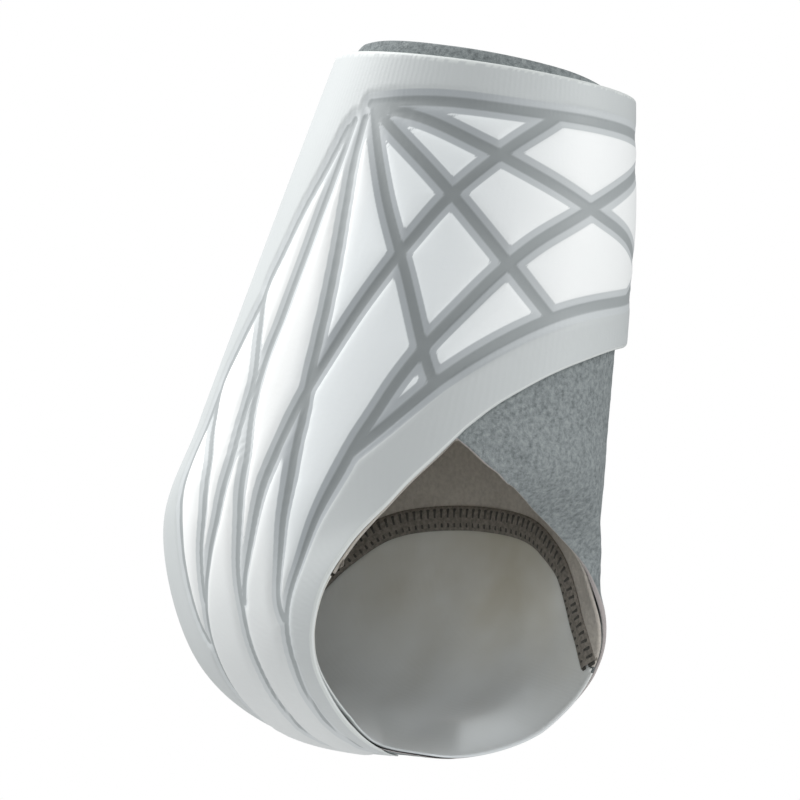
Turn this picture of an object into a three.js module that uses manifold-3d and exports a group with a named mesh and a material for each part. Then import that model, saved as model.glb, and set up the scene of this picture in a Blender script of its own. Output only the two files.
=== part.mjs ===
// Ankle brace in the form that it has when it is worn, in millimetres.
// +X points to the toes, +Y to the wearer's left and +Z up the leg.
// The origin is the centre of the ankle, on the axis of the leg.
import * as THREE from 'three';
import * as BufferGeometryUtils from 'three/addons/utils/BufferGeometryUtils.js';
import Module from 'manifold-3d';

// Outside of the brace
const legDepth = 86;
const legWidth = 69;
const ankleWidth = 93;
const instepReach = 57;
const heelReach = 77;
const topHeight = 84.6;
const soleDepth = 90;

// Walls of the layers, from the outside in, and the gap between them
const shellWall = 2.6;
const feltWall = 1.4;
const liningWall = 1;
const seamWall = 0.8;
const layerGap = 0.3;

// Grooves pressed into the shell, wide at the mouth and narrower at the floor
const grooveDepth = 0.9;
const grooveMouth = 5.4;
const grooveFloor = 4;

// How far the edges of the layers stand off from each other, and the seam's width
const feltRise = 4;
const liningSetback = 1;
const feltSetback = 2;
const soleOverlap = 13;
const seamWidth = 6.5;

// How finely the form is divided
const columns = 28;
const cutterColumns = 48;
const cutterRows = 18;
const barStep = 14;
const weldDistance = 0.01;

// The form is a fan of ovals, from the top edge (at 0) to the edge around the foot (at 1).
// Each oval runs from a front point to a back point. frontUp, backUp: height of the two points,
// as a share of topHeight where positive and of soleDepth where negative. legFront, legBack: how
// much of the leg's depth the point follows. instep, heel: how much of the reach it follows.
// legSide, ankleSide: the same for the width. steps: divisions down to the next oval.
const ovals = [
  { at: 0.00, legFront: 1.0, instep: 0.00, frontUp: 1.00, legBack: 1.0, heel: 0.00, backUp: 1.00,
    legSide: 1.0, ankleSide: 0.00, steps: 1 },
  { at: 0.16, legFront: 0.5, instep: 0.50, frontUp: 0.65, legBack: 0.7, heel: 0.30, backUp: 0.58,
    legSide: 0.7, ankleSide: 0.30, steps: 1 },
  { at: 0.31, legFront: 0.3, instep: 0.71, frontUp: 0.32, legBack: 0.43, heel: 0.57, backUp: 0.16,
    legSide: 0.4, ankleSide: 0.60, steps: 1 },
  { at: 0.45, legFront: 0.1, instep: 0.90, frontUp: 0.08, legBack: 0.18, heel: 0.82, backUp: -0.20,
    legSide: 0.2, ankleSide: 0.80, steps: 2 },
  { at: 0.60, legFront: 0.0, instep: 1.00, frontUp: -0.07, legBack: 0.0, heel: 1.00, backUp: -0.54,
    legSide: 0.0, ankleSide: 1.00, steps: 2 },
  { at: 0.74, legFront: 0.0, instep: 0.975, frontUp: -0.14, legBack: 0.0, heel: 0.70, backUp: -0.88,
    legSide: 0.0, ankleSide: 1.00, steps: 2 },
  { at: 0.87, legFront: 0.0, instep: 0.92, frontUp: -0.195, legBack: 0.0, heel: 0.23, backUp: -1.00,
    legSide: 0.0, ankleSide: 0.99, steps: 1 },
  { at: 1.00, legFront: 0.0, instep: 0.8, frontUp: -0.275, legBack: 0.0, heel: -0.38, backUp: -0.95,
    legSide: 0.0, ankleSide: 0.91, steps: 0 },
];

// Lower edge of the shell. turn: degrees around the leg, 0 at the front and 90 on the wearer's left.
// at: place between the top edge (0) and the edge around the foot (1).
const shellEdge = [
  { turn: -180, at: 0.955 },
  { turn: -171, at: 0.966 },
  { turn: -160.8, at: 0.972 },
  { turn: -149.4, at: 0.975 },
  { turn: -138, at: 0.975 },
  { turn: -128, at: 0.972 },
  { turn: -119.6, at: 0.966 },
  { turn: -108.6, at: 0.953 },
  { turn: -98.5, at: 0.938 },
  { turn: -87.2, at: 0.914 },
  { turn: -77.2, at: 0.88 },
  { turn: -67.9, at: 0.838 },
  { turn: -61.2, at: 0.795 },
  { turn: -56, at: 0.761 },
  { turn: -51.5, at: 0.728 },
  { turn: -45.6, at: 0.664 },
  { turn: -40.6, at: 0.607 },
  { turn: -36.5, at: 0.554 },
  { turn: -33.7, at: 0.521 },
  { turn: -27.9, at: 0.474 },
  { turn: -20.8, at: 0.437 },
  { turn: -12.5, at: 0.405 },
  { turn: -2.1, at: 0.377 },
  { turn: 12.8, at: 0.349 },
  { turn: 27, at: 0.333 },
  { turn: 60, at: 0.31 },
  { turn: 90, at: 0.36 },
  { turn: 120, at: 0.53 },
  { turn: 150, at: 0.82 },
  { turn: 180, at: 0.955 },
];

// Free edge of the felt sleeve, from the notch over the instep to the inner side of the foot
const notchTurn = -36;
const feltEdge = [
  { turn: -36, at: 0.549 },
  { turn: -31.4, at: 0.586 },
  { turn: -27.4, at: 0.622 },
  { turn: -22.9, at: 0.68 },
  { turn: -18, at: 0.775 },
  { turn: -13.4, at: 0.868 },
  { turn: -6.4, at: 0.918 },
  { turn: 0.8, at: 0.95 },
  { turn: 8.3, at: 0.977 },
  { turn: 16, at: 1 },
  { turn: 180, at: 1 },
];

// How far the felt stands out above the shell, as a share of feltRise
const feltTop = [
  { turn: -180, up: -0.3 },
  { turn: -122, up: -0.3 },
  { turn: -110, up: 0.75 },
  { turn: -63, up: 1 },
  { turn: -17, up: 0.8 },
  { turn: 5, up: 0.35 },
  { turn: 20, up: -0.3 },
  { turn: 180, up: -0.3 },
];

// Seam between the two linings, from the foot's edge on one side around the heel to the other
const seamPath = [
  { turn: 112, at: 1.035 },
  { turn: 104, at: 1.012 },
  { turn: 92.4, at: 0.982 },
  { turn: 80.5, at: 0.928 },
  { turn: 71.9, at: 0.831 },
  { turn: 69, at: 0.745 },
  { turn: 74.3, at: 0.663 },
  { turn: 82.4, at: 0.614 },
  { turn: 97, at: 0.577 },
  { turn: 112.6, at: 0.562 },
  { turn: 125, at: 0.571 },
  { turn: 137.5, at: 0.614 },
  { turn: 160, at: 0.682 },
  { turn: 180, at: 0.702 },
  { turn: 200, at: 0.682 },
  { turn: 222.5, at: 0.614 },
  { turn: 235, at: 0.571 },
  { turn: 247.4, at: 0.562 },
  { turn: 263, at: 0.577 },
  { turn: 277.6, at: 0.614 },
  { turn: 285.7, at: 0.663 },
  { turn: 291, at: 0.745 },
  { turn: 288.1, at: 0.831 },
  { turn: 279.5, at: 0.928 },
  { turn: 267.6, at: 0.982 },
  { turn: 256, at: 1.012 },
  { turn: 248, at: 1.035 },
];

// Lines of the pressed pattern: turns above, places under them
const grooves = [
  // Band under the top edge
  { turn: [-88.8, -61.7, -31.7, 2.2, 36, 100, 150],
    at: [0.066, 0.057, 0.055, 0.05, 0.05, 0.055, 0.06] },
  // Three that fan out from the outer side towards the front
  { turn: [-86.5, -65.6, -44.9, -23.1, 0.5, 24, 62],
    at: [0.07, 0.081, 0.107, 0.138, 0.17, 0.194, 0.245] },
  { turn: [-86.5, -61.5, -38.1, -14],
    at: [0.07, 0.14, 0.222, 0.315] },
  { turn: [-87.4, -73.4, -58.5, -45.7],
    at: [0.067, 0.176, 0.285, 0.422] },
  // Three that cross them
  { turn: [-18, -36.5, -51.3, -61.3, -69.3, -75.5, -80.4, -82.4, -88.1, -99],
    at: [0.049, 0.108, 0.17, 0.235, 0.304, 0.38, 0.466, 0.578, 0.683, 0.785] },
  { turn: [70, 45, 21.4, 5.5, -9.8, -23.3, -33.8, -42.3, -49.6, -55.3, -59.3, -63.1, -69.8, -79.2,
           -93.8, -108.8, -125.3, -141, -156],
    at: [0.055, 0.083, 0.117, 0.147, 0.183, 0.221, 0.266, 0.318, 0.373, 0.437, 0.519, 0.614, 0.7,
         0.796, 0.873, 0.919, 0.942, 0.951, 0.953] },
  { turn: [110, 75, 52, 26],
    at: [0.056, 0.12, 0.2, 0.265] },
  // Band above the lower edge
  { turn: [170, 150, 120, 90, 60, 26.3, -13, -42, -60.9],
    at: [0.86, 0.73, 0.46, 0.3, 0.248, 0.265, 0.313, 0.415, 0.569] },
  // Ribs, down the side and around under the heel
  { turn: [-89.4, -88.6, -86.2, -83.6, -81.6, -80.3, -79.2, -77.1, -75.8, -78.7, -84.1, -94.4],
    at: [0.085, 0.14, 0.194, 0.248, 0.304, 0.364, 0.429, 0.508, 0.601, 0.684, 0.774, 0.868] },
  { turn: [-94, -95, -95.9, -97.1, -98, -96.1, -90.9, -90.9, -95.1, -102.6, -116.7, -134, -150.9],
    at: [0.088, 0.149, 0.207, 0.326, 0.389, 0.461, 0.55, 0.639, 0.716, 0.804, 0.873, 0.905, 0.913] },
  { turn: [-96.3, -100.6, -105.4, -108.7, -111.4, -106.1, -100.6, -99, -96.4, -98.3, -104.4, -112.4,
           -118.4, -125.8, -134.6, -143.9, -153.1],
    at: [0.098, 0.149, 0.196, 0.243, 0.292, 0.346, 0.406, 0.473, 0.552, 0.626, 0.681, 0.732, 0.769,
         0.804, 0.83, 0.849, 0.858] },
  { turn: [-111, -116.2, -119, -114.1, -106.2, -104.2, -108, -112.9],
    at: [0.3, 0.358, 0.408, 0.469, 0.539, 0.614, 0.673, 0.731] },
  { turn: [-119, -119.3, -118.3, -116.8, -117.9, -119.6, -122.5],
    at: [0.42, 0.49, 0.554, 0.617, 0.67, 0.72, 0.777] },
];

const wasm = await Module();
wasm.setup();

// Value of one column of a table at a place, by a smooth curve through the rows.
function readTable(table, placeColumn, valueColumn, place) {
  const last = table.length - 1;
  const slope = (i) => {
    const before = table[Math.max(i - 1, 0)];
    const after = table[Math.min(i + 1, last)];
    return (after[valueColumn] - before[valueColumn]) / (after[placeColumn] - before[placeColumn]);
  };
  if (place <= table[0][placeColumn]) {
    return table[0][valueColumn] + slope(0) * (place - table[0][placeColumn]);
  }
  if (place >= table[last][placeColumn]) {
    return table[last][valueColumn] + slope(last) * (place - table[last][placeColumn]);
  }
  const i = table.findIndex((row) => row[placeColumn] > place) - 1;
  const low = table[i];
  const high = table[i + 1];
  const span = high[placeColumn] - low[placeColumn];
  const t = (place - low[placeColumn]) / span;
  return (1 + 2 * t) * (1 - t) ** 2 * low[valueColumn]
    + t * (1 - t) ** 2 * span * slope(i)
    + t ** 2 * (3 - 2 * t) * high[valueColumn]
    + t ** 2 * (t - 1) * span * slope(i + 1);
}

// Front point, back point and half width of each oval, in millimetres
const sections = ovals.map((oval) => ({
  at: oval.at,
  frontX: oval.legFront * legDepth / 2 + oval.instep * instepReach,
  frontZ: oval.frontUp * (oval.frontUp > 0 ? topHeight : soleDepth),
  backX: -(oval.legBack * legDepth / 2 + oval.heel * heelReach),
  backZ: oval.backUp * (oval.backUp > 0 ? topHeight : soleDepth),
  halfWidth: (oval.legSide * legWidth + oval.ankleSide * ankleWidth) / 2,
}));

// Length along the leg of one whole step in place, near the top edge
const topPitch = (sections[0].frontZ - sections[1].backZ) / (sections[1].at - sections[0].at);

// The same along the sole, behind the edge around the foot
const foot = sections[sections.length - 1];
const sole = sections[sections.length - 2];
const solePitch = (foot.backX - sole.backX) / (foot.at - sole.at);

// Point on the outside of the brace
function formPoint(turn, at) {
  const angle = THREE.MathUtils.degToRad(turn);
  const read = (column) => readTable(sections, 'at', column, at);
  const frontShare = (1 + Math.cos(angle)) / 2;
  return new THREE.Vector3(
    THREE.MathUtils.lerp(read('backX'), read('frontX'), frontShare),
    read('halfWidth') * Math.sin(angle),
    THREE.MathUtils.lerp(read('backZ'), read('frontZ'), frontShare),
  );
}

// Direction that points out of the brace
function formNormal(turn, at) {
  const turnStep = 0.05;
  const atStep = 0.0005;
  const around = formPoint(turn + turnStep, at).sub(formPoint(turn - turnStep, at));
  const down = formPoint(turn, at + atStep).sub(formPoint(turn, at - atStep));
  return down.cross(around).normalize();
}

// Point at a depth under the outside
function layerPoint(turn, at, depth) {
  return formPoint(turn, at).addScaledVector(formNormal(turn, at), -depth);
}

// Closed solid between two grids of points. pointAt(u, v, side) gives them, with side 0 or 1.
// ring joins the last column of the grid to the first.
function slab(uCount, vCount, ring, pointAt) {
  const corners = [];
  for (let u = 0; u < uCount; u += 1) {
    for (let v = 0; v < vCount; v += 1) {
      corners.push(pointAt(u, v, 0), pointAt(u, v, 1));
    }
  }
  const index = (u, v, side) => ((u % uCount) * vCount + v) * 2 + side;
  const faces = [];
  const quad = (a, b, c, d) => faces.push(a, b, c, a, c, d);
  const uSpans = ring ? uCount : uCount - 1;
  for (let u = 0; u < uSpans; u += 1) {
    for (let v = 0; v < vCount - 1; v += 1) {
      quad(index(u, v, 0), index(u, v + 1, 0), index(u + 1, v + 1, 0), index(u + 1, v, 0));
      quad(index(u, v, 1), index(u + 1, v, 1), index(u + 1, v + 1, 1), index(u, v + 1, 1));
    }
    const end = vCount - 1;
    quad(index(u, 0, 0), index(u + 1, 0, 0), index(u + 1, 0, 1), index(u, 0, 1));
    quad(index(u + 1, end, 0), index(u, end, 0), index(u, end, 1), index(u + 1, end, 1));
  }
  if (!ring) {
    const end = uCount - 1;
    for (let v = 0; v < vCount - 1; v += 1) {
      quad(index(0, v + 1, 0), index(0, v, 0), index(0, v, 1), index(0, v + 1, 1));
      quad(index(end, v, 0), index(end, v + 1, 0), index(end, v + 1, 1), index(end, v, 1));
    }
  }
  return toSolid(corners, faces);
}

// Solid for joining and cutting, turned the right way out if its faces point in
function toSolid(corners, faces) {
  let volume = 0;
  for (let i = 0; i < faces.length; i += 3) {
    const [a, b, c] = [corners[faces[i]], corners[faces[i + 1]], corners[faces[i + 2]]];
    volume += a.dot(b.clone().cross(c));
  }
  if (volume < 0) {
    faces.reverse();
  }
  return new wasm.Manifold(new wasm.Mesh({
    numProp: 3,
    vertProperties: new Float32Array(corners.flatMap((corner) => corner.toArray())),
    triVerts: new Uint32Array(faces),
  }));
}

// Places of the grid's rows: the ovals and the divisions between them
const topMargin = 1.5 * feltRise / topPitch;
const rowPlaces = [];
ovals.forEach((oval, i) => {
  for (let step = 0; step < oval.steps; step += 1) {
    rowPlaces.push(THREE.MathUtils.lerp(oval.at, ovals[i + 1].at, step / oval.steps));
  }
});
rowPlaces.push(1);

// Whole layer of the brace between two depths, from a place at or above the top edge to the foot
function fullLayer(outerDepth, innerDepth, topPlace) {
  const places = [topPlace, ...rowPlaces.slice(1)];
  return slab(columns, places.length, true, (u, v, side) => {
    const turn = -180 + 360 * u / columns;
    return layerPoint(turn, places[v], side === 0 ? outerDepth : innerDepth);
  });
}

// Everything beyond an edge, between two depths: below the edge, or above it for a top edge
const cutMargin = 1.6;
function beyondEdge(edgeAt, farAt, outerDepth, innerDepth) {
  return slab(cutterColumns, cutterRows + 1, true, (u, v, side) => {
    const turn = -180 + 360 * u / cutterColumns;
    const at = THREE.MathUtils.lerp(edgeAt(turn), farAt, v / cutterRows);
    return layerPoint(turn, at, side === 0 ? outerDepth - cutMargin : innerDepth + cutMargin);
  });
}

// Edges as functions of the turn
const pastTop = -4 * topMargin;
const pastFoot = 1.15;
const shellBottom = (turn) => readTable(shellEdge, 'turn', 'at', turn);
const setbackShare = feltSetback / topPitch;
const overlapShare = soleOverlap / solePitch;
const soleTurn = 145;
const feltBottom = (turn) => {
  if (turn >= notchTurn) {
    return Math.min(readTable(feltEdge, 'turn', 'at', turn), pastFoot);
  }
  const underSole = THREE.MathUtils.smoothstep(-turn, soleTurn, 180);
  return shellBottom(turn) - setbackShare * (1 - underSole) + overlapShare * underSole;
};
const topOfFelt = (turn) => -feltRise / topPitch * readTable(feltTop, 'turn', 'up', turn);
const topOfLining = (turn) => topOfFelt(turn) + liningSetback / topPitch;

// Smooth curve of turns and places
function pathOf(turns, places) {
  return new THREE.SplineCurve(turns.map((turn, i) => new THREE.Vector2(turn, places[i])));
}

// Number of straight steps for a path on the form
function stepsOf(path) {
  const pointsPerRow = 8;
  const places = path.getPoints(pointsPerRow * path.points.length);
  const points = places.map((place) => formPoint(place.x, place.y));
  const length = points.slice(1).reduce((sum, point, i) => sum + point.distanceTo(points[i]), 0);
  return Math.ceil(length / barStep);
}

// Bar that follows a path on the form, from one depth to another, with a width at each
function barAlong(path, outerDepth, outerWidth, innerDepth, innerWidth) {
  const lengthStep = 0.002;
  const steps = stepsOf(path);
  return slab(steps + 1, 2, false, (u, v, side) => {
    const t = u / steps;
    const place = path.getPoint(t);
    const before = path.getPoint(Math.max(t - lengthStep, 0));
    const after = path.getPoint(Math.min(t + lengthStep, 1));
    const along = formPoint(after.x, after.y).sub(formPoint(before.x, before.y)).normalize();
    const across = formNormal(place.x, place.y).cross(along).normalize();
    const halfWidth = (side === 0 ? outerWidth : innerWidth) / 2;
    return layerPoint(place.x, place.y, side === 0 ? outerDepth : innerDepth)
      .addScaledVector(across, v === 0 ? -halfWidth : halfWidth);
  });
}

// Shell: a skin cut through by the grooves, joined to the wall under it. The skin reaches into the
// wall by the grip, and the bars that cut it stand out of it by the spare.
function makeOuterShell() {
  const grip = 0.2;
  const spare = 2.5;
  let skin = fullLayer(0, grooveDepth + grip, 0);
  const slope = (grooveMouth - grooveFloor) / grooveDepth;
  for (const groove of grooves) {
    skin = skin.subtract(barAlong(
      pathOf(groove.turn, groove.at),
      -spare, grooveMouth + slope * spare,
      grooveDepth + 2 * grip, grooveFloor,
    ));
  }
  return skin.add(fullLayer(grooveDepth, shellWall, 0))
    .subtract(beyondEdge(shellBottom, pastFoot, 0, shellWall));
}

// Felt: one wall under the shell that shows above it, and over the instep
const feltDepth = shellWall + layerGap;
function makeFeltSleeve() {
  const inside = feltDepth + feltWall;
  return fullLayer(feltDepth, inside, -topMargin)
    .subtract(beyondEdge(topOfFelt, pastTop, feltDepth, inside))
    .subtract(beyondEdge(feltBottom, pastFoot, feltDepth, inside));
}

// Linings: one tube inside the felt, parted at the seam
const liningDepth = feltDepth + feltWall + layerGap;
const liningInside = liningDepth + liningWall;
function makeLiningTube() {
  return fullLayer(liningDepth, liningInside, -topMargin)
    .subtract(beyondEdge(topOfLining, pastTop, liningDepth, liningInside))
    .subtract(beyondEdge(feltBottom, pastFoot, liningDepth, liningInside));
}

// The heel's side of the seam, through the linings
const seamCurve = pathOf(seamPath.map((row) => row.turn), seamPath.map((row) => row.at));
function heelSide() {
  const first = seamPath[0].turn;
  const last = seamPath[seamPath.length - 1].turn;
  const steps = stepsOf(seamCurve);
  return slab(steps + 1, cutterRows + 1, false, (u, v, side) => {
    const t = u / steps;
    const onSeam = seamCurve.getPoint(t);
    const turn = THREE.MathUtils.lerp(first, last, t);
    const share = v / cutterRows;
    return layerPoint(
      THREE.MathUtils.lerp(onSeam.x, turn, share),
      THREE.MathUtils.lerp(onSeam.y, pastFoot, share),
      side === 0 ? liningDepth - cutMargin : liningInside + cutMargin,
    );
  });
}

// Slit that keeps the two linings apart
function seamSlit() {
  const width = 2 * layerGap;
  return barAlong(seamCurve, liningDepth - cutMargin, width, liningInside + cutMargin, width);
}

// Seam band: it covers the joint of the two linings on the inside
function makeLiningSeam() {
  const outside = liningInside + layerGap;
  const inside = outside + seamWall;
  return fullLayer(outside, inside, 0)
    .intersect(barAlong(seamCurve, outside - cutMargin, seamWidth, inside + cutMargin, seamWidth))
    .subtract(beyondEdge(feltBottom, pastFoot, outside, inside));
}

// Mesh of a solid, with its name and the look of its material
function makeMesh(name, solid, color, roughness) {
  const { numProp, vertProperties, triVerts } = solid.getMesh();
  const positions = [];
  for (const vertex of triVerts) {
    positions.push(...vertProperties.slice(vertex * numProp, vertex * numProp + 3));
  }
  const loose = new THREE.BufferGeometry();
  loose.setAttribute('position', new THREE.Float32BufferAttribute(positions, 3));
  const geometry = BufferGeometryUtils.mergeVertices(loose, weldDistance);
  const merged = geometry.getIndex().array;
  const kept = [];
  for (let i = 0; i < merged.length; i += 3) {
    const [a, b, c] = merged.slice(i, i + 3);
    if (a !== b && b !== c && c !== a) {
      kept.push(a, b, c);
    }
  }
  geometry.setIndex(kept);
  geometry.computeVertexNormals();
  const material = new THREE.MeshStandardMaterial({ color, roughness, metalness: 0 });
  const mesh = new THREE.Mesh(geometry, material);
  mesh.name = name;
  return mesh;
}

const liningTube = makeLiningTube();
const group = new THREE.Group();
group.add(makeMesh('outer_shell', makeOuterShell(), 0xe4e7e6, 0.6));
group.add(makeMesh('felt_sleeve', makeFeltSleeve(), 0x8b9090, 0.95));
group.add(makeMesh('ankle_lining', liningTube.subtract(heelSide()), 0x5c5a55, 0.9));
group.add(makeMesh('heel_lining', liningTube.intersect(heelSide()).subtract(seamSlit()), 0x8a8b84, 0.85));
group.add(makeMesh('lining_seam', makeLiningSeam(), 0x4f4f4a, 0.9));

export default group;
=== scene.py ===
import math

import bpy
import numpy as np
from mathutils import Matrix, Vector
from mathutils.kdtree import KDTree


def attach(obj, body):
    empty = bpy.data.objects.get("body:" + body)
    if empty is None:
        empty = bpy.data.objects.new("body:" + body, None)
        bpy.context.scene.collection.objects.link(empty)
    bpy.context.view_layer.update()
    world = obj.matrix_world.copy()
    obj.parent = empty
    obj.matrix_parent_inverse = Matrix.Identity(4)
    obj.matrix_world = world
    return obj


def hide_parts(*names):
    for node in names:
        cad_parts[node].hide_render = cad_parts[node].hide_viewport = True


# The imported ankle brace: +X points to the toes, +Y to the wearer's left and +Z up the leg, in metres.
# The origin is the centre of the ankle.
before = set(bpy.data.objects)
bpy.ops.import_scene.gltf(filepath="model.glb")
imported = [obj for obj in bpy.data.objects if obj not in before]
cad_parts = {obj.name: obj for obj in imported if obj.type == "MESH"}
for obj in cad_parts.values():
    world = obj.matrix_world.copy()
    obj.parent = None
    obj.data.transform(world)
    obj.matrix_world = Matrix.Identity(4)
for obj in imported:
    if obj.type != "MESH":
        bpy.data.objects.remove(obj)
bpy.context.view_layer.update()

# Outer shell
# A light foam laminate with a smooth white skin. It is cut flat, wrapped round the ankle and joined at
# the heel. A heated press leaves the lattice of grooves in it, with slightly puffed pads between them.
LEG_DEPTH = 0.086
LEG_WIDTH = 0.069
ANKLE_WIDTH = 0.093
INSTEP_REACH = 0.057
HEEL_REACH = 0.077
TOP_HEIGHT = 0.0846
SOLE_DEPTH = 0.090
SHELL_WALL = 0.0026
SHELL_EDGE_ROUND = 0.0009
SHELL_COLUMNS = 400
SHELL_ROWS = 176
SHELL_INNER_ROWS = 22

# The form is a fan of ovals, from the top edge (at 0) to the edge around the foot (at 1). Each row has
# its place, then shares of the leg's depth, the reach and the height for its front point, the same
# for its back point, and shares of the two widths.
OVALS = np.array([
    [0.00, 1.0, 0.000, 1.000, 1.00, 0.00, 1.00, 1.0, 0.00],
    [0.16, 0.5, 0.500, 0.650, 0.70, 0.30, 0.58, 0.7, 0.30],
    [0.31, 0.3, 0.710, 0.320, 0.43, 0.57, 0.16, 0.4, 0.60],
    [0.45, 0.1, 0.900, 0.080, 0.18, 0.82, -0.20, 0.2, 0.80],
    [0.60, 0.0, 1.000, -0.070, 0.00, 1.00, -0.54, 0.0, 1.00],
    [0.74, 0.0, 0.975, -0.140, 0.00, 0.70, -0.88, 0.0, 1.00],
    [0.87, 0.0, 0.920, -0.195, 0.00, 0.23, -1.00, 0.0, 0.99],
    [1.00, 0.0, 0.800, -0.275, 0.00, -0.38, -0.95, 0.0, 0.91],
])


def height_of(share):
    return np.where(share > 0, share * TOP_HEIGHT, share * SOLE_DEPTH)


OVAL_AT = OVALS[:, 0]
FRONT_X = OVALS[:, 1] * LEG_DEPTH / 2 + OVALS[:, 2] * INSTEP_REACH
FRONT_Z = height_of(OVALS[:, 3])
BACK_X = -(OVALS[:, 4] * LEG_DEPTH / 2 + OVALS[:, 5] * HEEL_REACH)
BACK_Z = height_of(OVALS[:, 6])
HALF_WIDTH = (OVALS[:, 7] * LEG_WIDTH + OVALS[:, 8] * ANKLE_WIDTH) / 2


def smooth_curve(places, values, x):
    """Values at x on a smooth curve through the rows of a table."""
    places = np.asarray(places, float)
    values = np.asarray(values, float)
    x = np.asarray(x, float)
    slopes = np.gradient(values)
    slopes[1:-1] = (values[2:] - values[:-2]) / (places[2:] - places[:-2])
    slopes[0] = (values[1] - values[0]) / (places[1] - places[0])
    slopes[-1] = (values[-1] - values[-2]) / (places[-1] - places[-2])
    i = np.clip(np.searchsorted(places, x, side="right") - 1, 0, len(places) - 2)
    span = places[i + 1] - places[i]
    t = (x - places[i]) / span
    inside = (
        (1 + 2 * t) * (1 - t) ** 2 * values[i]
        + t * (1 - t) ** 2 * span * slopes[i]
        + t ** 2 * (3 - 2 * t) * values[i + 1]
        + t ** 2 * (t - 1) * span * slopes[i + 1]
    )
    before = values[0] + slopes[0] * (x - places[0])
    after = values[-1] + slopes[-1] * (x - places[-1])
    return np.where(x < places[0], before, np.where(x > places[-1], after, inside))


def form_point(turn, at):
    """Points on the outside of the brace. turn: degrees round the leg, 0 at the front and 90 on the left."""
    angle = np.radians(turn)
    front = (1 + np.cos(angle)) / 2
    front_x, front_z, back_x, back_z, half_width = (
        smooth_curve(OVAL_AT, column, at) for column in (FRONT_X, FRONT_Z, BACK_X, BACK_Z, HALF_WIDTH)
    )
    return np.stack([
        back_x + (front_x - back_x) * front,
        half_width * np.sin(angle),
        back_z + (front_z - back_z) * front,
    ], axis=-1)


def ramp(value, start, length):
    """0 up to start, then rising evenly to 1 over a length."""
    return np.clip((value - start) / length, 0, 1)


def unit(vectors):
    return vectors / np.linalg.norm(vectors, axis=-1, keepdims=True)


def form_normal(turn, at):
    """Directions that point out of the brace."""
    small_turn = 0.05
    small_step = 0.0005
    around = form_point(turn + small_turn, at) - form_point(turn - small_turn, at)
    down = form_point(turn, at + small_step) - form_point(turn, at - small_step)
    return unit(np.cross(down, around))


def pitch(turn, at):
    """Metres along the form for one whole step of at."""
    step = 0.002
    down = form_point(turn, at + step) - form_point(turn, at - step)
    return np.linalg.norm(down, axis=-1) / (2 * step)


# The shell's lower edge, as turns and places
SHELL_EDGE = np.array([
    [-180, 0.955], [-171, 0.966], [-160.8, 0.972], [-149.4, 0.975], [-138, 0.975], [-128, 0.972],
    [-119.6, 0.966], [-108.6, 0.953], [-98.5, 0.938], [-87.2, 0.914], [-77.2, 0.88], [-67.9, 0.838],
    [-61.2, 0.795], [-56, 0.761], [-51.5, 0.728], [-45.6, 0.664], [-40.6, 0.607], [-36.5, 0.554],
    [-33.7, 0.521], [-27.9, 0.474], [-20.8, 0.437], [-12.5, 0.405], [-2.1, 0.377], [12.8, 0.349],
    [27, 0.333], [60, 0.31], [90, 0.36], [120, 0.53], [150, 0.82], [180, 0.955],
])


def shell_top(turn):
    return np.zeros_like(turn)


def shell_bottom(turn):
    return smooth_curve(SHELL_EDGE[:, 0], SHELL_EDGE[:, 1], turn)


def layer_profile(outer_rows, inner_rows, depth, wall, edge_round):
    """Cross-section of a layer, once round: down its outside, round its lower edge, up its inside and round
    its top edge. Each row has a share of the way down, setbacks from the two edges, and a depth."""
    rows = []
    # The four edges of the wall are rounded in four steps each
    arc = np.radians([0, 22, 45, 68, 90])
    for i in range(outer_rows + 1):
        rows.append((i / outer_rows, edge_round, depth))
    for a in arc[1:]:
        rows.append((1, edge_round * (1 - math.sin(a)), depth + edge_round * (1 - math.cos(a))))
    for a in arc[:-1]:
        rows.append((1, edge_round * (1 - math.cos(a)), depth + wall - edge_round * (1 - math.sin(a))))
    for i in range(inner_rows + 1):
        rows.append((1 - i / inner_rows, edge_round, depth + wall))
    for a in arc[1:]:
        rows.append((0, edge_round * (1 - math.sin(a)), depth + wall - edge_round * (1 - math.cos(a))))
    for a in arc[:-1]:
        rows.append((0, edge_round * (1 - math.cos(a)), depth + edge_round * (1 - math.sin(a))))
    rows.append(rows[0])
    return np.array(rows)


def add_grid(name, columns, rows):
    """A flat grid, with its columns from -1 to 1 in x and its rows from 1 down to -1 in y."""
    bpy.ops.object.select_all(action="DESELECT")
    bpy.ops.mesh.primitive_grid_add(x_subdivisions=columns, y_subdivisions=rows, size=2)
    piece = bpy.context.object
    piece.name = name
    piece.data.name = name
    return piece


def vertices_of(piece):
    flat = np.empty(len(piece.data.vertices) * 3, np.float32)
    piece.data.vertices.foreach_get("co", flat)
    return flat.reshape(-1, 3).astype(float)


def place_vertices(piece, points):
    piece.data.vertices.foreach_set("co", np.asarray(points, np.float32).ravel())
    piece.data.update()


def keep_values(piece, name, values):
    """Stores one number for each vertex, for the material to read."""
    attribute = piece.data.attributes.new(name, "FLOAT", "POINT")
    attribute.data.foreach_set("value", np.asarray(values, np.float32))


# Rough length round the brace, and from its top edge to the edge around the foot
MAP_ROUND = 0.30
MAP_DOWN = 0.22


def keep_map(piece, turn, at):
    """A UV map in metres: round the ankle and down the leg."""
    loops = np.empty(len(piece.data.loops), np.int32)
    piece.data.loops.foreach_get("vertex_index", loops)
    uv = np.stack([turn / 360 * MAP_ROUND, at * MAP_DOWN], axis=-1)
    layer = piece.data.uv_layers[0] if piece.data.uv_layers else piece.data.uv_layers.new(name="cloth")
    layer.name = "cloth"
    layer.data.foreach_set("uv", uv[loops].astype(np.float32).ravel())


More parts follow.
